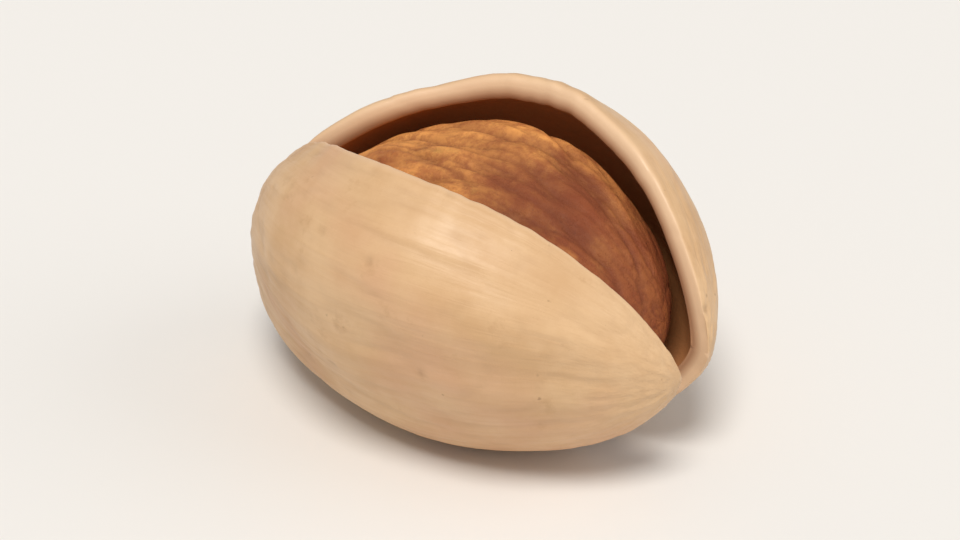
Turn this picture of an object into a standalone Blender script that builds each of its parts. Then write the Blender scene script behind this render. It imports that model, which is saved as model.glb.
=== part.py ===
"""A pistachio in its split shell, lying on its back with the mouth up.

The shell is one hard piece: two cupped valves that are grown together at the stem end and along
most of the back, and parted along the mouth and round the tip. The kernel lies loose inside it.
+X runs from the stem end to the tip, +Z is up through the mouth, and Y runs across the valves.
The origin is on the resting surface, under the middle of the nut. All lengths are in metres.
"""

import math

import bmesh
import bpy
from mathutils import Matrix, Vector

# Shell, measured before its valves part
SHELL_LENGTH = 0.0200
SHELL_HEIGHT = 0.0122
SHELL_WIDTH = 0.0101
WALL = 0.0010
MOUTH_ARCH = 0.0010
BACK_FULLNESS = 0.32
BLUNTNESS = 0.55
TAPER = 0.12

# Split: each valve swings out above the hinge, most in the middle of the mouth
OPENING = 0.0082
GAP_START = -0.0095
GAP_EASING = 1.5
GAP_MIDDLE = 0.0
TIP_SHARE = 0.50
HINGE_Z = -0.0056
SWING_CURVE = 1.05
SWING_SHARE = 0.5
SEAM_GRIP = 0.00014

# Lips, seam, stem scar, and the slow waves of the outside, each (count, height, phase, twist)
LIP_ROUND = 0.00032
SEAM_GROOVE = 0.00007
SEAM_CLOSENESS = 0.35
SCAR_RADIUS = 0.0017
SCAR_DEPTH = 0.00035
SCAR_RING = 0.00009
SCAR_RING_WIDTH = 0.00045
SHELL_WAVES = (
    (3, 0.00005, 0.4, 1.2),
    (5, 0.00006, 1.9, -0.8),
    (8, 0.00006, 0.3, 1.7),
    (11, 0.00004, 2.6, -1.1),
)
SIDE_BOW = 0.00022
FLAT_DEPTH = 0.00015

# Kernel, with the long folds of its skin
KERNEL_LENGTH = 0.0165
KERNEL_HEIGHT = 0.0094
KERNEL_WIDTH = 0.0106
KERNEL_CENTRE = Vector((0.0, 0.0003, 0.0003))
KERNEL_FLARE = 0.22
KERNEL_BLUNTNESS = 0.55
KERNEL_TAPER = 0.03
KERNEL_FOLDS = (
    (4, 0.00010, 0.9, 0.9),
    (7, 0.00011, 0.2, -1.3),
    (9, 0.00006, 2.2, 1.9),
)

# Facets round and along each piece
SHELL_AROUND = 48
SHELL_ALONG = 34
KERNEL_AROUND = 36
KERNEL_ALONG = 26

SHELL_COLOUR = (0.72, 0.51, 0.33, 1.0)
SHELL_ROUGHNESS = 0.5
SKIN_COLOUR = (0.37, 0.13, 0.05, 1.0)
SKIN_ROUGHNESS = 0.6


def clear_scene():
    for leftover in list(bpy.data.objects):
        bpy.data.objects.remove(leftover)


def new_material(name, colour, roughness):
    material = bpy.data.materials.new(name)
    material.use_nodes = True
    surface = material.node_tree.nodes["Principled BSDF"]
    surface.inputs["Base Color"].default_value = colour
    surface.inputs["Roughness"].default_value = roughness
    surface.inputs["Metallic"].default_value = 0.0
    return material


def ease(value):
    """0 up to 0, 1 from 1, and a smooth step between them."""
    value = min(max(value, 0.0), 1.0)
    return value * value * (3 - 2 * value)


def girth(s, bluntness, taper):
    """Share of the full girth at s, which is -1 at the stem end and +1 at the tip."""
    return max(1 - s * s, 0.0) ** (bluntness + taper * s)


def long_waves(table, s, turn):
    """Height of the ridges that run from end to end. They die away towards both ends."""
    height = sum(high * math.cos(count * turn + phase + twist * s) for count, high, phase, twist in table)
    return height * (1 - s * s)


def half_gap(x, z):
    """How far each valve has swung out at a point in the plane of the seam."""
    if x < GAP_MIDDLE:
        along = max(1 - ((GAP_MIDDLE - x) / (GAP_MIDDLE - GAP_START)) ** 2, 0.0) ** GAP_EASING
    else:
        along = 1 - (1 - TIP_SHARE) * ((x - GAP_MIDDLE) / (SHELL_LENGTH / 2 - GAP_MIDDLE)) ** 2
    above_hinge = max((z - HINGE_Z) / (SHELL_HEIGHT / 2 - HINGE_Z), 0.0)
    return OPENING / 2 * along * above_hinge ** SWING_CURVE


def parted(point, side):
    """Where a point of the unsplit shell goes when its valve swings out, as a bent plate does."""
    step = SHELL_LENGTH / 1000
    out = abs(point.y)
    slope_x = (half_gap(point.x + step, point.z) - half_gap(point.x - step, point.z)) / (2 * step)
    slope_z = (half_gap(point.x, point.z + step) - half_gap(point.x, point.z - step)) / (2 * step)
    return Vector((
        point.x - SWING_SHARE * out * slope_x,
        side * (out + half_gap(point.x, point.z)),
        point.z - SWING_SHARE * out * slope_z,
    ))


def unsplit_point(s, turn, inset):
    """A point of the shell before it splits. turn is 0 along the back and pi along the mouth."""
    full = girth(s, BLUNTNESS, TAPER)
    fuller = 1 + BACK_FULLNESS * max(math.cos(turn), 0.0) ** 2
    return Vector((
        s * (SHELL_LENGTH / 2 - inset),
        math.sin(turn) * (full * SHELL_WIDTH / 2 - inset * full) * fuller,
        MOUTH_ARCH * (1 - s * s) - math.cos(turn) * (full * SHELL_HEIGHT / 2 - inset * full),
    ))


def lip_drop(s, turn):
    """How far the outside falls away at a lip, or along the seam where it is still closed."""
    from_seam = min(turn, math.pi - turn) * girth(s, BLUNTNESS, TAPER) * SHELL_HEIGHT / 2
    if from_seam >= LIP_ROUND:
        return 0.0
    seam = unsplit_point(s, 0.0 if turn < math.pi / 2 else math.pi, 0.0)
    openness = ease(half_gap(seam.x, seam.z) / LIP_ROUND)
    depth = SEAM_GROOVE + (LIP_ROUND - SEAM_GROOVE) * openness
    return depth * (1 - math.sqrt(1 - (1 - from_seam / LIP_ROUND) ** 2))


def outside_point(s, turn):
    point = unsplit_point(s, turn, lip_drop(s, turn) - long_waves(SHELL_WAVES, s, turn))
    if s < 0:
        from_axis = math.hypot(point.y, point.z - MOUTH_ARCH * (1 - s * s))
        bowl = max(1 - (from_axis / SCAR_RADIUS) ** 2, 0.0) ** 2
        ring = math.exp(-(((from_axis - SCAR_RADIUS) / SCAR_RING_WIDTH) ** 2))
        point.x += SCAR_DEPTH * bowl - SCAR_RING * ring
    return point


def inside_point(s, turn):
    return unsplit_point(s, turn, WALL)


def add_sphere(mesh, around, along):
    """Adds a unit sphere whose poles are on the X axis and returns its faces."""
    known = set(mesh.faces)
    to_x = Matrix.Rotation(math.pi / 2, 4, "Y")
    bmesh.ops.create_uvsphere(mesh, u_segments=around, v_segments=along, radius=1.0, matrix=to_x)
    return [face for face in mesh.faces if face not in known]


def on_seam(vertex):
    return abs(vertex.co.y) < 1e-5


def seam_is_open(unit):
    """True at a seam point of the unit sphere where the valves have let go of each other."""
    seam = unsplit_point(unit.x, 0.0 if unit.z < 0 else math.pi, 0.0)
    return half_gap(seam.x, seam.z) > SEAM_GRIP


def split_seam(mesh, faces):
    """Cuts a unit sphere along the open part of its seam."""
    cut = [
        edge for edge in {edge for face in faces for edge in face.edges}
        if all(on_seam(vertex) for vertex in edge.verts)
        and any(seam_is_open(vertex.co) for vertex in edge.verts)
    ]
    bmesh.ops.split_edges(mesh, edges=cut)


def shell_places(faces, surface_point):
    """Where each vertex of a split unit sphere belongs on the shell."""
    places = {}
    for vertex in {vertex for face in faces for vertex in face.verts}:
        side = 1 if sum(face.calc_center_median().y for face in vertex.link_faces) > 0 else -1
        turn = math.atan2(abs(vertex.co.y), -vertex.co.z)
        turn -= SEAM_CLOSENESS * math.sin(2 * turn)
        place = surface_point(vertex.co.x, turn)
        grown_together = on_seam(vertex) and not vertex.is_boundary
        if grown_together:
            place.y = 0.0
        else:
            place = parted(place, side)
        places[vertex] = place
    return places


def bow_sideways(place):
    place.y += SIDE_BOW * (math.cos(math.pi * place.x / SHELL_LENGTH) - 0.5)


def make_shell(material, collection):
    mesh = bmesh.new()
    layers = [(add_sphere(mesh, SHELL_AROUND, SHELL_ALONG), point) for point in (outside_point, inside_point)]
    bmesh.ops.reverse_faces(mesh, faces=layers[1][0])
    places = {}
    for faces, surface_point in layers:
        split_seam(mesh, faces)
        places.update(shell_places(faces, surface_point))
    for vertex, place in places.items():
        bow_sideways(place)
        vertex.co = place
    bmesh.ops.bridge_loops(mesh, edges=[edge for edge in mesh.edges if edge.is_boundary])
    return finish_object("shell", mesh, material, collection)


def make_kernel(material, collection):
    mesh = bmesh.new()
    add_sphere(mesh, KERNEL_AROUND, KERNEL_ALONG)
    for vertex in mesh.verts:
        s = vertex.co.x
        turn = math.atan2(vertex.co.y, -vertex.co.z)
        full = girth(s, KERNEL_BLUNTNESS, KERNEL_TAPER)
        fold = long_waves(KERNEL_FOLDS, s, turn)
        flare = 1 - KERNEL_FLARE * math.cos(turn)
        vertex.co = KERNEL_CENTRE + Vector((
            s * KERNEL_LENGTH / 2,
            math.sin(turn) * (full * KERNEL_WIDTH / 2 + fold) * flare,
            MOUTH_ARCH * (1 - s * s) - math.cos(turn) * (full * KERNEL_HEIGHT / 2 + fold),
        ))
        bow_sideways(vertex.co)
    return finish_object("kernel", mesh, material, collection)


def finish_object(name, mesh, material, collection):
    data = bpy.data.meshes.new(name)
    mesh.to_mesh(data)
    mesh.free()
    data.shade_smooth()
    data.materials.append(material)
    made = bpy.data.objects.new(name, data)
    collection.objects.link(made)
    return made


def set_down(shell, kernel):
    """Flattens the shell's lowest spot and brings it to the origin's level, under the nut's middle."""
    lowest = min(vertex.co.z for vertex in shell.data.vertices) + FLAT_DEPTH
    for vertex in shell.data.vertices:
        vertex.co.z = max(vertex.co.z, lowest)
    corners = [Vector(corner) for corner in shell.bound_box]
    middle = sum(corners, Vector()) / len(corners)
    for piece in (shell, kernel):
        piece.data.transform(Matrix.Translation((-middle.x, -middle.y, -lowest)))


clear_scene()
nut = bpy.data.collections.new("pistachio in shell")
bpy.context.scene.collection.children.link(nut)
shell = make_shell(new_material("shell", SHELL_COLOUR, SHELL_ROUGHNESS), nut)
kernel = make_kernel(new_material("kernel skin", SKIN_COLOUR, SKIN_ROUGHNESS), nut)
set_down(shell, kernel)
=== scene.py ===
import math

import bpy
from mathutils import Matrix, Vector, noise


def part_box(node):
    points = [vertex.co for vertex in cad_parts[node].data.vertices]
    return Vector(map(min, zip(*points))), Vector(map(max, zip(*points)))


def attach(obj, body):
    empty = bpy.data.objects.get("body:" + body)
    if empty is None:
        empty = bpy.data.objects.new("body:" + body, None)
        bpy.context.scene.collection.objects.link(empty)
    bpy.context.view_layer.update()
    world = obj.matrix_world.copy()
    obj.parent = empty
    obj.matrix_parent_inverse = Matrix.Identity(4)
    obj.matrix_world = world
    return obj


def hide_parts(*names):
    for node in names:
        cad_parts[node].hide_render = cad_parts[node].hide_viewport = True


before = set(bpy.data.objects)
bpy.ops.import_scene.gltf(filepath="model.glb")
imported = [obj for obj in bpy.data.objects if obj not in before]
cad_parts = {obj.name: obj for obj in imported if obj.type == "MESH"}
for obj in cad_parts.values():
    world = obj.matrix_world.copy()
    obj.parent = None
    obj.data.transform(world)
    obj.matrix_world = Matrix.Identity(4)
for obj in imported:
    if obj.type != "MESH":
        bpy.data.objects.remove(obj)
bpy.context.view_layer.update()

# Shell.
# One hard, woody piece: two cupped valves that stay grown together at the stem end and along the
# back. As the nut ripens they part along the mouth and round the tip.

# Its shape before the valves part, in metres
SHELL_LENGTH = 0.0200
SHELL_HEIGHT = 0.0122
SHELL_WIDTH = 0.0101
WALL = 0.0009
MOUTH_ARCH = 0.0010
BACK_FULLNESS = 0.32
BLUNTNESS = 0.55
TAPER = 0.12
SIDE_BOW = 0.00022
FLAT_DEPTH = 0.00015

# Its split: each valve swings out above the hinge, most in the middle of the mouth
OPENING = 0.0082
GAP_START = -0.0095
GAP_EASING = 1.5
GAP_MIDDLE = 0.0
TIP_SHARE = 0.50
HINGE_Z = -0.0056
SWING_CURVE = 1.05
SWING_SHARE = 0.5
SLOPE_STEP = SHELL_LENGTH / 1000
SEAM_GRIP = 0.00014

# Its mesh
SHELL_SEGMENTS = 64
SHELL_RINGS = 44
SMOOTH_LEVELS = 2
ON_SEAM = 0.00001
MERGE_DISTANCE = SEAM_GRIP / 3


def girth(s, bluntness, taper):
    """Share of the full girth at s, which is -1 at the stem end and +1 at the tip."""
    return max(1 - s * s, 0.0) ** (bluntness + taper * s)


def half_gap(x, z):
    """How far each valve has swung out at a point in the plane of the seam."""
    if x < GAP_MIDDLE:
        along = max(1 - ((GAP_MIDDLE - x) / (GAP_MIDDLE - GAP_START)) ** 2, 0.0) ** GAP_EASING
    else:
        along = 1 - (1 - TIP_SHARE) * ((x - GAP_MIDDLE) / (SHELL_LENGTH / 2 - GAP_MIDDLE)) ** 2
    above_hinge = max((z - HINGE_Z) / (SHELL_HEIGHT / 2 - HINGE_Z), 0.0)
    return OPENING / 2 * along * above_hinge ** SWING_CURVE


def parted(point):
    """Where a point of the unsplit shell goes when its valve swings out, as a bent plate does."""
    rise_x = half_gap(point.x + SLOPE_STEP, point.z) - half_gap(point.x - SLOPE_STEP, point.z)
    rise_z = half_gap(point.x, point.z + SLOPE_STEP) - half_gap(point.x, point.z - SLOPE_STEP)
    return Vector((
        point.x - SWING_SHARE * point.y * rise_x / (2 * SLOPE_STEP),
        point.y + half_gap(point.x, point.z),
        point.z - SWING_SHARE * point.y * rise_z / (2 * SLOPE_STEP),
    ))


def unsplit_point(s, turn, inset):
    """A point of the shell before it splits. turn is 0 along the back and pi along the mouth."""
    full = girth(s, BLUNTNESS, TAPER)
    fuller = 1 + BACK_FULLNESS * max(math.cos(turn), 0.0) ** 2
    return Vector((
        s * (SHELL_LENGTH / 2 - inset),
        math.sin(turn) * full * (SHELL_WIDTH / 2 - inset) * fuller,
        MOUTH_ARCH * (1 - s * s) - math.cos(turn) * full * (SHELL_HEIGHT / 2 - inset),
    ))


def shell_point(s, turn, inset, side):
    """A point of the split shell. side is 1 or -1 for the two valves, and 0 where they hold."""
    place = unsplit_point(s, turn, inset)
    if side:
        place = parted(place)
    return Vector((place.x, place.y * side, place.z))


def seam_is_open(s, turn):
    seam = unsplit_point(s, 0.0 if turn < math.pi / 2 else math.pi, 0.0)
    return half_gap(seam.x, seam.z) > SEAM_GRIP


def bow_sideways(place):
    place.y += SIDE_BOW * (math.cos(math.pi * place.x / SHELL_LENGTH) - 0.5)


def new_sphere(name, segments, rings):
    """A unit sphere with its poles on the X axis, from which a piece is shaped."""
    bpy.ops.object.select_all(action="DESELECT")
    bpy.ops.mesh.primitive_uv_sphere_add(
        segments=segments, ring_count=rings, radius=1.0, rotation=(0, math.pi / 2, 0))
    bpy.ops.object.transform_apply(location=True, rotation=True, scale=True)
    sphere = bpy.context.object
    sphere.name = name
    return sphere


def attributes_of(piece, names):
    return [piece.data.attributes[name] for name in names]


def new_attributes(piece, **kinds):
    """Adds the attributes first and looks them up last, because each new one moves the others."""
    for name, kind in kinds.items():
        piece.data.attributes.new(name, kind, "POINT")
    return attributes_of(piece, kinds)


def group_weight(vertex, group_index):
    for entry in vertex.groups:
        if entry.group == group_index:
            return entry.weight
    return 0.0


# One valve is half a sphere. It is mirrored, and the two meet again only where the seam still holds.
shell = new_sphere("shell_valves", SHELL_SEGMENTS, SHELL_RINGS)
bpy.ops.object.mode_set(mode="EDIT")
bpy.ops.mesh.select_all(action="SELECT")
bpy.ops.mesh.bisect(plane_co=(0, 0, 0), plane_no=(0, 1, 0), clear_inner=True)
bpy.ops.object.mode_set(mode="OBJECT")
along, turned = new_attributes(shell, along="FLOAT", turned="FLOAT")
for vertex in shell.data.vertices:
    s = min(max(vertex.co.x, -1.0), 1.0)
    turn = math.atan2(max(vertex.co.y, 0.0), -vertex.co.z)
    held = vertex.co.y < ON_SEAM and not seam_is_open(s, turn)
    vertex.co = shell_point(s, turn, 0.0, 0 if held else 1)
    along.data[vertex.index].value = s
    turned.data[vertex.index].value = turn

mirror = shell.modifiers.new("other valve", "MIRROR")
mirror.use_axis = (False, True, False)
mirror.merge_threshold = MERGE_DISTANCE
bpy.ops.object.modifier_apply(modifier="other valve")
(side,) = new_attributes(shell, side="FLOAT")
for vertex in shell.data.vertices:
    held = abs(vertex.co.y) < MERGE_DISTANCE
    side.data[vertex.index].value = 0.0 if held else math.copysign(1.0, vertex.co.y)

wall = shell.modifiers.new("wall", "SOLIDIFY")
wall.thickness = WALL
wall.offset = -1
shell.vertex_groups.new(name="inner wall")
shell.vertex_groups.new(name="rim")
wall.shell_vertex_group = "inner wall"
wall.rim_vertex_group = "rim"
bpy.ops.object.modifier_apply(modifier="wall")

# Solidify folds the inner wall over itself at the sharp tip, so each of its points is placed again.
inner_index, rim_index = (shell.vertex_groups[name].index for name in ("inner wall", "rim"))
along, turned, side = attributes_of(shell, ("along", "turned", "side"))
for vertex in shell.data.vertices:
    if group_weight(vertex, inner_index):
        s, turn, valve = (attribute.data[vertex.index].value for attribute in (along, turned, side))
        vertex.co = shell_point(s, turn, WALL, valve)
smooth = shell.modifiers.new("smooth", "SUBSURF")
smooth.levels = SMOOTH_LEVELS
smooth.render_levels = SMOOTH_LEVELS
bpy.ops.object.modifier_apply(modifier="smooth")

# Slow waves, ribs and lumps of the outside, and where they calm down towards the two ends.
# Each wave is (count, height, phase, twist)
SHELL_WAVES = (
    (3, 0.00005, 0.4, 1.2),
    (5, 0.00006, 1.9, -0.8),
    (8, 0.00006, 0.3, 1.7),
    (11, 0.00004, 2.6, -1.1),
)
RIB_HEIGHT = 0.00004
RIB_COUNT = 9.0
RIB_BREAKS = 1.1
FINE_RIB_HEIGHT = 0.00001
FINE_RIB_COUNT = 30.0
FINE_RIB_BREAKS = 2.5
LUMP_HEIGHT = 0.00012
LUMP_SIZE = 0.0036
TIP_CALM = 0.03
STEM_CALM = 0.004
END_POWER = 8

# Veins, which branch and fade towards the tip, and pits, whose radius is a share of their spacing
VEIN_DEPTH = 0.000035
VEIN_SIZE = 0.0013
VEIN_STRETCH = 0.14
VEIN_THINNESS = 4.5
VEIN_STRENGTH = 0.9
VEIN_FADE = 0.4
BRANCH_SHARE = 0.4
BRANCH_FINENESS = 2.1
PIT_DEPTH = 0.00007
PIT_SPACING = 0.0021
PIT_RADIUS = 0.15
PIT_SHUFFLE = 7.3
PIT_SKIP_BELOW = 0.2

# Closed seam, stem scar and lips
SEAM_GROOVE = 0.00009
SEAM_GROOVE_WIDTH = 0.00040
SCAR_RADIUS = 0.0017
SCAR_DEPTH = 0.00035
SCAR_RING = 0.00015
SCAR_RING_WIDTH = 0.00045
SCAR_FIBRE_HEIGHT = 0.00007
SCAR_FIBRE_SIZE = SCAR_RADIUS * 0.2
SCAR_STAIN_RADIUS = SCAR_RADIUS * 1.35
LIP_ROUNDING = 0.00004
LIP_WOBBLE = 0.00016
LIP_WOBBLE_COUNT = 4.0
LIP_NICK = 0.00007
LIP_NICK_COUNT = 17.0
LIP_BAND = 0.18
LIP_START = -0.85
LIP_START_LENGTH = 0.4
LIP_END = 0.97
LIP_END_LENGTH = 0.3


def ease(value):
    """0 up to 0, 1 from 1, and a smooth step between them."""
    value = min(max(value, 0.0), 1.0)
    return value * value * (3 - 2 * value)


def long_waves(table, s, turn):
    """Height of the ridges that run from end to end. They die away towards both ends."""
    heights = (high * math.cos(count * turn + phase + twist * s) for count, high, phase, twist in table)
    return sum(heights) * (1 - s * s)


def way_round(s, turn):
    """Where the point lies along and round the piece. It draws together at the two ends."""
    round_share = math.sqrt(max(1 - s ** END_POWER, 0.0))
    return Vector((s, round_share * math.sin(turn), -round_share * math.cos(turn)))


def long_noise(way, count, breaks, drift=0.0, place=Vector()):
    """Noise drawn out from end to end: count sets how fine it is round the piece, breaks along it."""
    return noise.noise(Vector((way.x * breaks, way.y * count, way.z * count + drift)) + place)


def calm_at_ends(s):
    """Share of the fine relief that stays. It fades at both ends, where the mesh draws together."""
    return ease((1 - s) / TIP_CALM) * ease((1 + s) / STEM_CALM)


def vein_strength(place, s):
    """How strong a thin branching vein is here, and 0 between veins. They fade towards the tip."""
    bent = Vector((place.x * VEIN_STRETCH, place.y, place.z)) / VEIN_SIZE
    crossing = abs(noise.noise(bent)) + BRANCH_SHARE * abs(noise.noise(bent * BRANCH_FINENESS))
    return max(1 - crossing * VEIN_THINNESS, 0.0) * (VEIN_STRENGTH - VEIN_FADE * s)


def pit_strength(place):
    """1 in the middle of each small pit. Only some of the places have one."""
    distances, centres = noise.voronoi(place / PIT_SPACING)
    kept = noise.cell(centres[0] * PIT_SHUFFLE) > PIT_SKIP_BELOW
    return ease(1 - distances[0] / PIT_RADIUS) if kept else 0.0


def scar_height(place, s):
    """The sunk stem scar with its fibres, and the low ring round it."""
    if s > 0:
        return 0.0
    from_axis = math.hypot(place.y, place.z)
    bowl = max(1 - (from_axis / SCAR_RADIUS) ** 2, 0.0)
    ring = math.exp(-(((from_axis - SCAR_RADIUS) / SCAR_RING_WIDTH) ** 2))
    fibres = noise.noise(Vector((0.0, place.y, place.z)) / SCAR_FIBRE_SIZE) * calm_at_ends(s)
    return SCAR_RING * ring - SCAR_DEPTH * bowl ** 2 + SCAR_FIBRE_HEIGHT * bowl * fibres


def scar_nearness(place, s):
    """1 in the middle of the stem scar, falling evenly to 0 some way past its edge."""
    if s > 0:
        return 0.0
    return max(1 - math.hypot(place.y, place.z) / SCAR_STAIN_RADIUS, 0.0)


def seam_nearness(s, turn):
    """1 on the line where the two valves are grown together, and 0 away from it or where they part."""
    if seam_is_open(s, turn):
        return 0.0
    from_seam = min(turn, math.pi - turn) * girth(s, BLUNTNESS, TAPER) * SHELL_HEIGHT / 2
    return math.exp(-((from_seam / SEAM_GROOVE_WIDTH) ** 2))


def lip_lift(s, turn, valve):
    """The slow wobble and the small nicks of a lip's edge, apart from its two ends."""
    near_lip = ease((turn / math.pi - 1 + LIP_BAND) / LIP_BAND)
    near_lip *= ease((s - LIP_START) / LIP_START_LENGTH) * ease((LIP_END - s) / LIP_END_LENGTH)
    wobble = noise.noise(Vector((s * LIP_WOBBLE_COUNT, valve, 0.0))) * LIP_WOBBLE
    nicks = noise.noise(Vector((s * LIP_NICK_COUNT, valve, 0.0))) * LIP_NICK
    return (wobble + nicks) * near_lip


# The mesh keeps where each point lies on the valve, so that relief and colour follow the shell.
MASK_NAMES = ("inside", "lip", "vein", "pit", "seam", "scar")
*masks, grain = new_attributes(shell, **dict.fromkeys(MASK_NAMES, "FLOAT"), grain="FLOAT_VECTOR")
along, turned = attributes_of(shell, ("along", "turned"))
placed = []
for vertex in shell.data.vertices:
    s = along.data[vertex.index].value
    turn = turned.data[vertex.index].value
    valve = 1 if vertex.co.y > 0 else -1
    way = way_round(s, valve * turn)
    inner = group_weight(vertex, inner_index)
    rim = group_weight(vertex, rim_index)
    vein = vein_strength(vertex.co, s)
    pit = pit_strength(vertex.co)
    seam = seam_nearness(s, turn)
    ribs = long_noise(way, RIB_COUNT, RIB_BREAKS) * RIB_HEIGHT
    ribs += long_noise(way, FINE_RIB_COUNT, FINE_RIB_BREAKS) * FINE_RIB_HEIGHT
    height = long_waves(SHELL_WAVES, s, turn) + ribs * (1 - rim)
    height += noise.noise(vertex.co / LUMP_SIZE) * LUMP_HEIGHT
    height -= vein * VEIN_DEPTH + pit * PIT_DEPTH + seam * SEAM_GROOVE + rim * LIP_ROUNDING
    height = height * calm_at_ends(s) + scar_height(vertex.co, s)
    lift = Vector((0, 0, lip_lift(s, turn, valve)))
    placed.append(vertex.co + vertex.normal * height * (1 - inner) + lift)
    grain.data[vertex.index].vector = way
    for mask, value in zip(masks, (inner, rim, vein, pit, seam, scar_nearness(vertex.co, s))):
        mask.data[vertex.index].value = value
for vertex, place in zip(shell.data.vertices, placed):
    bow_sideways(place)
    vertex.co = place

low_corner, high_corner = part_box("shell")
xs = [place.x for place in placed]
ys = [place.y for place in placed]
set_down = Vector((
    (low_corner.x + high_corner.x) / 2 - (min(xs) + max(xs)) / 2,
    (low_corner.y + high_corner.y) / 2 - (min(ys) + max(ys)) / 2,
    -min(place.z for place in placed) - FLAT_DEPTH,
))
for vertex in shell.data.vertices:
    vertex.co += set_down
    vertex.co.z = max(vertex.co.z, 0.0)
bpy.ops.object.shade_smooth()

MM_PER_METRE = 1000.0


def new_look(name):
    """A material, with its node tree and its Principled surface."""
    look = bpy.data.materials.new(name)
    look.use_nodes = True
    return look, look.node_tree, look.node_tree.nodes["Principled BSDF"]


def dress(piece, look):
    piece.data.materials.clear()
    piece.data.materials.append(look)


def add_node(tree, kind, inputs=None, **settings):
    """Adds a node. inputs gives each socket, by name or number, a value or another node's output."""
    node = tree.nodes.new(kind)
    for name, value in settings.items():
        setattr(node, name, value)
    for socket, value in (inputs or {}).items():
        if isinstance(value, bpy.types.NodeSocket):
            tree.links.new(value, node.inputs[socket])
        else:
            node.inputs[socket].default_value = value
    return node


def in_range(tree, value, low, high, lowest=0.0, highest=1.0):
    """Stretches low..high to lowest..highest, and holds it there."""
    node = add_node(tree, "ShaderNodeMapRange", {
        "Value": value, "From Min": low, "From Max": high, "To Min": lowest, "To Max": highest})
    return node.outputs["Result"]


def times(tree, first, second):
    return add_node(tree, "ShaderNodeMath", {0: first, 1: second}, operation="MULTIPLY").outputs[0]


def plus(tree, first, second):
    return add_node(tree, "ShaderNodeMath", {0: first, 1: second}, operation="ADD").outputs[0]


def weighted_sum(tree, first, *others):
    """Adds up values. Each is given with its weight."""
    total = times(tree, *first)
    for part in others:
        total = plus(tree, total, times(tree, *part))
    return total


def layered(tree, colour, layers):
    """Lays colours over one another. Each layer is its mask, its colour and the share that shows."""
    for mask, over, share in layers:
        # Sockets 0, 6 and 7 of the mix are the share and its two colours.
        inputs = {0: times(tree, mask, share), 6: colour, 7: over}
        colour = add_node(tree, "ShaderNodeMix", inputs, data_type="RGBA").outputs[2]
    return colour


def noise_at(tree, place, scale, detail, roughness=0.5):
    node = add_node(tree, "ShaderNodeTexNoise", {
        "Vector": place, "Scale": scale, "Detail": detail, "Roughness": roughness})
    return node.outputs["Fac"]


def add_bump(tree, surface, height, strength, distance):
    bump = add_node(tree, "ShaderNodeBump", {
        "Strength": strength, "Distance": distance, "Height": height})
    tree.links.new(bump.outputs["Normal"], surface.inputs["Normal"])


def stored(tree, name):
    """The outputs of a value that the mesh keeps at its points."""
    return add_node(tree, "ShaderNodeAttribute", attribute_name=name).outputs


def scaled(tree, vector, scale):
    inputs = {0: vector, "Scale": scale}
    return add_node(tree, "ShaderNodeVectorMath", inputs, operation="SCALE").outputs[0]


def shifted(tree, vector, shift):
    return add_node(tree, "ShaderNodeVectorMath", {0: vector, 1: shift}, operation="ADD").outputs[0]


def place_in_mm(tree):
    """The point on the piece, in millimetres."""
    return scaled(tree, add_node(tree, "ShaderNodeTexCoord").outputs["Object"], MM_PER_METRE)


def new_mask_group(name, vector_input, float_inputs):
    """A node group that puts out a mask. Gives the group, its inputs and its one output."""
    group = bpy.data.node_groups.new(name, "ShaderNodeTree")
    group.interface.new_socket(vector_input, in_out="INPUT", socket_type="NodeSocketVector")
    for socket in float_inputs:
        group.interface.new_socket(socket, in_out="INPUT", socket_type="NodeSocketFloat")
    group.interface.new_socket("Mask", in_out="OUTPUT", socket_type="NodeSocketFloat")
    given = group.nodes.new("NodeGroupInput").outputs
    return group, given, group.nodes.new("NodeGroupOutput").inputs["Mask"]


def make_patches_group():
    """Uneven patches. They begin where the noise passes Start and are full where it passes Full."""
    group, given, mask = new_mask_group(
        "uneven patches", "Place", ("Per mm", "Detail", "Roughness", "Start", "Full"))
    level = noise_at(group, given["Place"], given["Per mm"], given["Detail"], given["Roughness"])
    group.links.new(in_range(group, level, given["Start"], given["Full"]), mask)
    return group


def make_streaks_group():
    """Streaks that run from end to end along the grain."""
    group, given, mask = new_mask_group("long streaks", "Grain", ("Count", "Breaks"))
    parts = add_node(group, "ShaderNodeSeparateXYZ", {0: given["Grain"]})
    drawn_out = add_node(group, "ShaderNodeCombineXYZ", {
        "X": times(group, parts.outputs["X"], given["Breaks"]),
        "Y": times(group, parts.outputs["Y"], given["Count"]),
        "Z": times(group, parts.outputs["Z"], given["Count"]),
    }).outputs[0]
    waver = noise_at(group, drawn_out, scale=0.5, detail=1.0)
    streaks = noise_at(group, shifted(group, drawn_out, waver), scale=1.0, detail=3.0, roughness=0.55)
    group.links.new(in_range(group, streaks, low=0.40, high=0.66), mask)
    return group


def make_specks_group():
    """Scattered small specks of uneven shape and size."""
    group, given, mask = new_mask_group("scattered specks", "Place", ("Per mm", "Size"))
    uneven = add_node(group, "ShaderNodeTexNoise", {"Vector": given["Place"], "Scale": 4.0, "Detail": 3.0})
    ragged = shifted(group, given["Place"], scaled(group, uneven.outputs["Color"], 0.25))
    cells = add_node(group, "ShaderNodeTexVoronoi", {"Vector": ragged, "Scale": given["Per mm"]})
    chance = add_node(group, "ShaderNodeSeparateColor", {0: cells.outputs["Color"]})
    edge = times(group, given["Size"], chance.outputs["Red"])
    core = times(group, edge, 0.4)
    nearness = in_range(group, cells.outputs["Distance"], low=edge, high=core)
    rare = in_range(group, chance.outputs["Green"], low=0.55, high=0.80)
    group.links.new(times(group, nearness, rare), mask)
    return group


patches_group = make_patches_group()
streaks_group = make_streaks_group()
specks_group = make_specks_group()


def group_mask(tree, group, inputs):
    return add_node(tree, "ShaderNodeGroup", inputs, node_tree=group).outputs["Mask"]


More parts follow.
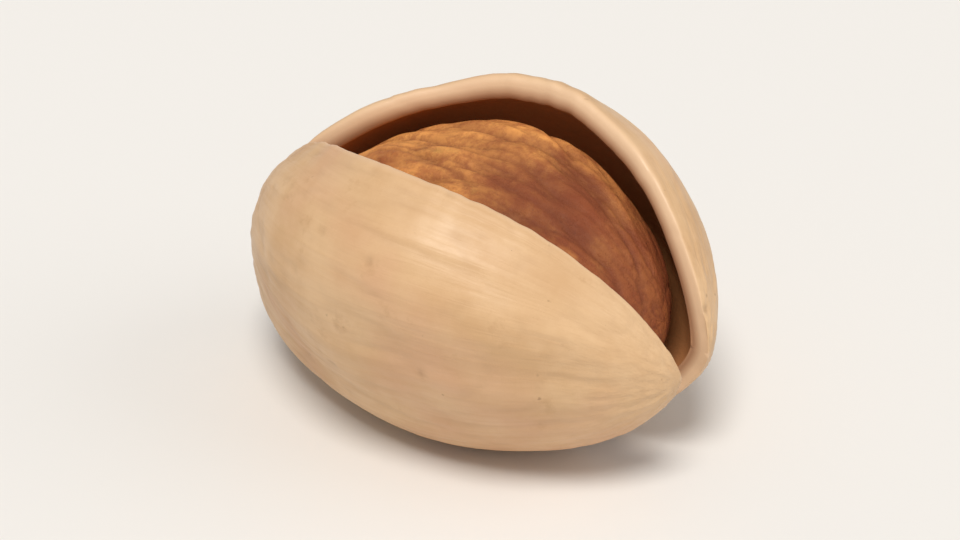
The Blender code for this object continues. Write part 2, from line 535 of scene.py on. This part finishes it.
def patches_mask(tree, place, per_mm, detail, roughness, start, full):
    return group_mask(tree, patches_group, {
        "Place": place, "Per mm": per_mm, "Detail": detail, "Roughness": roughness,
        "Start": start, "Full": full})


def streaks_mask(tree, grain_way, count, breaks):
    return group_mask(tree, streaks_group, {"Grain": grain_way, "Count": count, "Breaks": breaks})


def specks_mask(tree, place, per_mm, size):
    return group_mask(tree, specks_group, {"Place": place, "Per mm": per_mm, "Size": size})


CREAM = (0.72, 0.478, 0.267, 1)
TAN = (0.60, 0.36, 0.175, 1)
ROSE_TAN = (0.68, 0.375, 0.235, 1)
STREAK_TAN = (0.48, 0.265, 0.12, 1)
STEM_BROWN = (0.36, 0.20, 0.10, 1)
SCAR_TAN = (0.36, 0.19, 0.085, 1)
SCAR_BROWN = (0.17, 0.08, 0.035, 1)
SPECK_BROWN = (0.28, 0.15, 0.07, 1)
# The inside is the shell's own tan, made redder and darker as painted warm shade and light bounced from
# the kernel.
INNER_TAN_AND_PAINTED_SHADE = (0.60, 0.255, 0.090, 1)
# The lips are the paler cut edge, made paler still as a painted highlight along the rims.
LIP_CREAM_AND_PAINTED_HIGHLIGHT = (0.84, 0.59, 0.385, 1)
LIP_LINE_BROWN = (0.30, 0.12, 0.05, 1)
SHELL_SPECULAR = 0.45

shell_look, tree, surface = new_look("pistachio shell")
place = place_in_mm(tree)
grain_way = stored(tree, "grain")["Vector"]
along_shell = add_node(tree, "ShaderNodeSeparateXYZ", {0: grain_way}).outputs["X"]
inner_mask, lip_mask, vein_mask, pit_mask, seam_mask, scar_mask = (
    stored(tree, name)["Fac"] for name in MASK_NAMES)
mottle = patches_mask(tree, place, per_mm=0.30, detail=5.0, roughness=0.62, start=0.38, full=0.64)
blush = patches_mask(tree, place, per_mm=0.16, detail=3.0, roughness=0.50, start=0.50, full=0.68)
stain = patches_mask(tree, place, per_mm=0.55, detail=6.0, roughness=0.70, start=0.60, full=0.72)
broad = streaks_mask(tree, grain_way, count=5.0, breaks=1.2)
fine = streaks_mask(tree, grain_way, count=24.0, breaks=3.0)
specks = specks_mask(tree, place, per_mm=1.5, size=0.14)
fibres = noise_at(tree, place, scale=3.2, detail=3.0, roughness=0.6)
pores = noise_at(tree, place, scale=11.0, detail=2.0)
stem_end = in_range(tree, weighted_sum(tree, (along_shell, 1.0), (mottle, 0.12)), low=-0.72, high=-0.98)
ragged_scar = weighted_sum(tree, (scar_mask, 1.0), (fibres, 0.60))
lip_line = in_range(tree, times(tree, lip_mask, inner_mask), low=0.35, high=0.95)
colour = layered(tree, CREAM, (
    (mottle, TAN, 0.66),
    (blush, ROSE_TAN, 0.45),
    (broad, STREAK_TAN, 0.11),
    (fine, STREAK_TAN, 0.10),
    (vein_mask, STEM_BROWN, 0.20),
    (stain, STREAK_TAN, 0.40),
    (stem_end, STEM_BROWN, 0.60),
    (seam_mask, STEM_BROWN, 0.55),
    (in_range(tree, ragged_scar, low=0.46, high=0.80), SCAR_TAN, 0.60),
    (in_range(tree, ragged_scar, low=0.84, high=1.20), SCAR_BROWN, 0.85),
    (specks, SPECK_BROWN, 0.55),
    (pit_mask, SPECK_BROWN, 0.45),
    # inside: its own tan with painted warm shade
    (in_range(tree, inner_mask, low=0.45, high=1.0), INNER_TAN_AND_PAINTED_SHADE, 1.0),
    # lips: the paler cut edge with a painted highlight
    (lip_mask, LIP_CREAM_AND_PAINTED_HIGHLIGHT, 0.70),
    (lip_line, LIP_LINE_BROWN, 0.65),
))
tree.links.new(colour, surface.inputs["Base Color"])
dullness = weighted_sum(tree, (mottle, 0.6), (fine, 0.4), (inner_mask, 1.6))
roughness = in_range(tree, dullness, low=0.0, high=2.0, lowest=0.40, highest=0.76)
tree.links.new(roughness, surface.inputs["Roughness"])
surface.inputs["Specular IOR Level"].default_value = SHELL_SPECULAR
away_from_lip = in_range(tree, lip_mask, low=1.0, high=0.0)
height = weighted_sum(tree, (times(tree, fine, away_from_lip), 0.45), (pores, 0.30))
add_bump(tree, surface, height, strength=0.5, distance=0.00003)
dress(shell, shell_look)
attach(shell, "root")
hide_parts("shell")

# Kernel.
# The seed lies loose in the shell. Its thin papery skin is orange brown with darker red patches,
# and has dried into wrinkles that run from end to end.

# Its shape, in metres, with its long folds as (count, height, phase, twist)
KERNEL_LENGTH = 0.0165
KERNEL_HEIGHT = 0.0094
KERNEL_WIDTH = 0.0106
KERNEL_CENTRE = Vector((0.0, 0.0003, 0.0003))
KERNEL_FLARE = 0.22
KERNEL_BLUNTNESS = 0.55
KERNEL_TAPER = 0.03
KERNEL_FOLDS = (
    (4, 0.00010, 0.9, 0.9),
    (7, 0.00011, 0.2, -1.3),
    (9, 0.00006, 2.2, 1.9),
)
KERNEL_SEGMENTS = 320
KERNEL_RINGS = 200

# The wrinkles and lumps of its skin, and how much painted shade darkens the wrinkles
WRINKLE_DEPTH = 0.00030
WRINKLE_COUNT = 3.6
WRINKLE_BREAKS = 1.1
WRINKLE_DRIFT = 0.35
DRIFT_BREAKS = 2.2
FINE_WRINKLE_DEPTH = 0.00010
FINE_WRINKLE_COUNT = 11.0
FINE_WRINKLE_BREAKS = 3.0
WRINKLE_END_POWER = 4
CREASE_SHARPNESS = 3.2
WRINKLE_SHADE = 0.7
FINE_WRINKLE_SHADE = 0.5
SKIN_LUMP_HEIGHT = 0.00010
SKIN_LUMP_SIZE = 0.0030
SKIN_LUMP_COUNT = KERNEL_LENGTH / 2 / SKIN_LUMP_SIZE
WRINKLE_PLACE = Vector((7, 3, 5))


def crease(level):
    """1 in the bottom of a crease, where the noise passes 0, and 0 on the skin between creases."""
    return max(1 - abs(level) * CREASE_SHARPNESS, 0.0)


kernel = new_sphere("kernel_seed", KERNEL_SEGMENTS, KERNEL_RINGS)
# The crease attribute keeps, at each point, the painted shade of the wrinkles.
kernel_grain, kernel_crease_shade = new_attributes(kernel, grain="FLOAT_VECTOR", crease="FLOAT")
for vertex in kernel.data.vertices:
    s = min(max(vertex.co.x, -1.0), 1.0)
    turn = math.atan2(vertex.co.y, -vertex.co.z)
    full = girth(s, KERNEL_BLUNTNESS, KERNEL_TAPER)
    way = way_round(s, turn)
    drift = WRINKLE_DRIFT * long_noise(way, 1.0, DRIFT_BREAKS)
    wrinkle = crease(long_noise(way, WRINKLE_COUNT, WRINKLE_BREAKS, drift, WRINKLE_PLACE)) ** 2
    fine_wrinkle = crease(long_noise(way, FINE_WRINKLE_COUNT, FINE_WRINKLE_BREAKS, drift))
    relief = SKIN_LUMP_HEIGHT * noise.noise(way * SKIN_LUMP_COUNT + WRINKLE_PLACE)
    relief -= WRINKLE_DEPTH * wrinkle + FINE_WRINKLE_DEPTH * fine_wrinkle
    fold = long_waves(KERNEL_FOLDS, s, turn) + relief * (1 - s ** WRINKLE_END_POWER)
    flare = 1 - KERNEL_FLARE * math.cos(turn)
    vertex.co = KERNEL_CENTRE + Vector((
        s * KERNEL_LENGTH / 2,
        math.sin(turn) * (full * KERNEL_WIDTH / 2 + fold) * flare,
        MOUTH_ARCH * (1 - s * s) - math.cos(turn) * (full * KERNEL_HEIGHT / 2 + fold),
    ))
    bow_sideways(vertex.co)
    vertex.co += set_down
    # Painted shade, deepest in the bottom of the wrinkles.
    shade = WRINKLE_SHADE * wrinkle + FINE_WRINKLE_SHADE * fine_wrinkle
    kernel_grain.data[vertex.index].vector = way
    kernel_crease_shade.data[vertex.index].value = min(shade, 1.0)
bpy.ops.object.shade_smooth()

SKIN_ORANGE = (0.86, 0.365, 0.100, 1)
SKIN_RED = (0.32, 0.078, 0.026, 1)
SKIN_PURPLE = (0.20, 0.038, 0.020, 1)
# Painted shade that darkens the skin to a deep red over the half towards the tip.
PAINTED_TIP_SHADE = (0.22, 0.048, 0.016, 1)
SKIN_GOLD = (0.68, 0.36, 0.09, 1)
SKIN_GREEN = (0.38, 0.32, 0.08, 1)
# Painted shade in the wrinkles, and the colour of the small specks.
PAINTED_CREASE_SHADE_AND_SPECK_BROWN = (0.14, 0.035, 0.015, 1)
SKIN_SPECULAR = 0.28

kernel_look, tree, surface = new_look("kernel skin")
place = place_in_mm(tree)
grain_way = stored(tree, "grain")["Vector"]
along_kernel = add_node(tree, "ShaderNodeSeparateXYZ", {0: grain_way}).outputs["X"]
# Painted shade: how much each point in the wrinkles is darkened.
creases = stored(tree, "crease")["Fac"]
patches = patches_mask(tree, place, per_mm=0.26, detail=5.0, roughness=0.62, start=0.44, full=0.60)
deep = patches_mask(tree, place, per_mm=0.45, detail=6.0, roughness=0.68, start=0.56, full=0.70)
rubbed = patches_mask(tree, place, per_mm=0.70, detail=5.0, roughness=0.65, start=0.60, full=0.74)
crumpled = patches_mask(tree, place, per_mm=1.5, detail=5.0, roughness=0.70, start=0.46, full=0.62)
broad = streaks_mask(tree, grain_way, count=4.0, breaks=1.5)
fine = streaks_mask(tree, grain_way, count=16.0, breaks=4.0)
specks = specks_mask(tree, place, per_mm=1.8, size=0.20)
papery = noise_at(tree, place, scale=5.0, detail=5.0, roughness=0.68)
# Painted shade over the half towards the tip, made ragged at its edge by the patches.
painted_tip_shade_mask = in_range(tree, weighted_sum(tree, (along_kernel, 1.0), (patches, 0.30)), low=0.10, high=0.80)
colour = layered(tree, SKIN_ORANGE, (
    (patches, SKIN_RED, 0.75),
    (broad, SKIN_GOLD, 0.28),
    (deep, SKIN_PURPLE, 0.55),
    (rubbed, SKIN_GREEN, 0.35),
    (fine, SKIN_RED, 0.22),
    (crumpled, SKIN_RED, 0.50),
    # painted shade towards the tip
    (painted_tip_shade_mask, PAINTED_TIP_SHADE, 0.84),
    # painted shade in the wrinkles
    (creases, PAINTED_CREASE_SHADE_AND_SPECK_BROWN, 0.60),
    (specks, PAINTED_CREASE_SHADE_AND_SPECK_BROWN, 0.40),
))
tree.links.new(colour, surface.inputs["Base Color"])
roughness = in_range(tree, papery, low=0.3, high=0.7, lowest=0.54, highest=0.72)
tree.links.new(roughness, surface.inputs["Roughness"])
surface.inputs["Specular IOR Level"].default_value = SKIN_SPECULAR
height = weighted_sum(tree, (crumpled, 0.6), (papery, 1.1))
add_bump(tree, surface, height, strength=0.6, distance=0.00009)
dress(kernel, kernel_look)
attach(kernel, "root")
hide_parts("kernel")

# Floor.
# A plain pale sheet under the nut. It belongs to the studio, and reaches far past the nut on all
# sides.

FLOOR_SIZE = 3.0
FLOOR_COLOUR = (0.80, 0.79, 0.77, 1)
FLOOR_ROUGHNESS = 0.7

bpy.ops.object.select_all(action="DESELECT")
bpy.ops.mesh.primitive_plane_add(size=FLOOR_SIZE)
floor = bpy.context.object
floor.name = "floor"
floor_look, _, surface = new_look("pale floor")
surface.inputs["Base Color"].default_value = FLOOR_COLOUR
surface.inputs["Roughness"].default_value = FLOOR_ROUGHNESS
dress(floor, floor_look)

# Lights and camera.
# A large soft light stands high in front of the nut and a weaker one beyond its tip, under an even
# sky. The camera looks a little down on the near valve and the tip, as in the photograph.

SKY_COLOUR = (1.0, 0.99, 0.98, 1)
SKY_STRENGTH = 0.36
BACKDROP_COLOUR = (1.0, 0.975, 0.945, 1)
BACKDROP_STRENGTH = 0.88
TARGET = Vector((0.0, 0.0, 0.0058))
CAMERA_TURN = 35
CAMERA_RISE = 30
CAMERA_DISTANCE = 0.104
LENS = 100.0
CLIP_START = 0.005


def way_back(turn, rise):
    """From the nut towards something that stands turn degrees round it and rise degrees up."""
    turn, rise = math.radians(turn), math.radians(rise)
    return Vector((math.sin(turn) * math.cos(rise), -math.cos(turn) * math.cos(rise), math.sin(rise)))


def facing_nut(turn, rise):
    """The rotation of a lamp or camera that looks at the nut from there."""
    return way_back(turn, rise).to_track_quat("Z", "Y").to_euler()


def place_light(name, turn, rise, spread, strength, colour):
    """A far, even light. spread is how wide it looks from the nut, in degrees."""
    light = bpy.data.lights.new(name, "SUN")
    light.angle = math.radians(spread)
    light.energy = strength
    light.color = colour
    lamp = bpy.data.objects.new(name, light)
    lamp.rotation_euler = facing_nut(turn, rise)
    bpy.context.collection.objects.link(lamp)


place_light("key", turn=25, rise=64, spread=24, strength=2.45, colour=(1.0, 0.96, 0.91))
place_light("fill", turn=115, rise=35, spread=45, strength=0.50, colour=(1.0, 0.98, 0.96))

# The sky lights the nut evenly, and the camera sees a brighter backdrop in its place.
world = bpy.data.worlds.new("studio")
world.use_nodes = True
tree = world.node_tree
sky = tree.nodes["Background"]
sky.inputs["Color"].default_value = SKY_COLOUR
sky.inputs["Strength"].default_value = SKY_STRENGTH
backdrop = add_node(tree, "ShaderNodeBackground", {
    "Color": BACKDROP_COLOUR, "Strength": BACKDROP_STRENGTH})
seen = add_node(tree, "ShaderNodeLightPath").outputs["Is Camera Ray"]
both = add_node(tree, "ShaderNodeMixShader", {0: seen, 1: sky.outputs[0], 2: backdrop.outputs[0]})
tree.links.new(both.outputs[0], tree.nodes["World Output"].inputs["Surface"])
bpy.context.scene.world = world
bpy.context.scene.view_settings.view_transform = "Standard"

camera_data = bpy.data.cameras.new("camera")
camera_data.lens = LENS
camera_data.clip_start = CLIP_START
camera = bpy.data.objects.new("camera", camera_data)
camera.location = TARGET + way_back(CAMERA_TURN, CAMERA_RISE) * CAMERA_DISTANCE
camera.rotation_euler = facing_nut(CAMERA_TURN, CAMERA_RISE)
bpy.context.collection.objects.link(camera)
bpy.context.scene.camera = camera
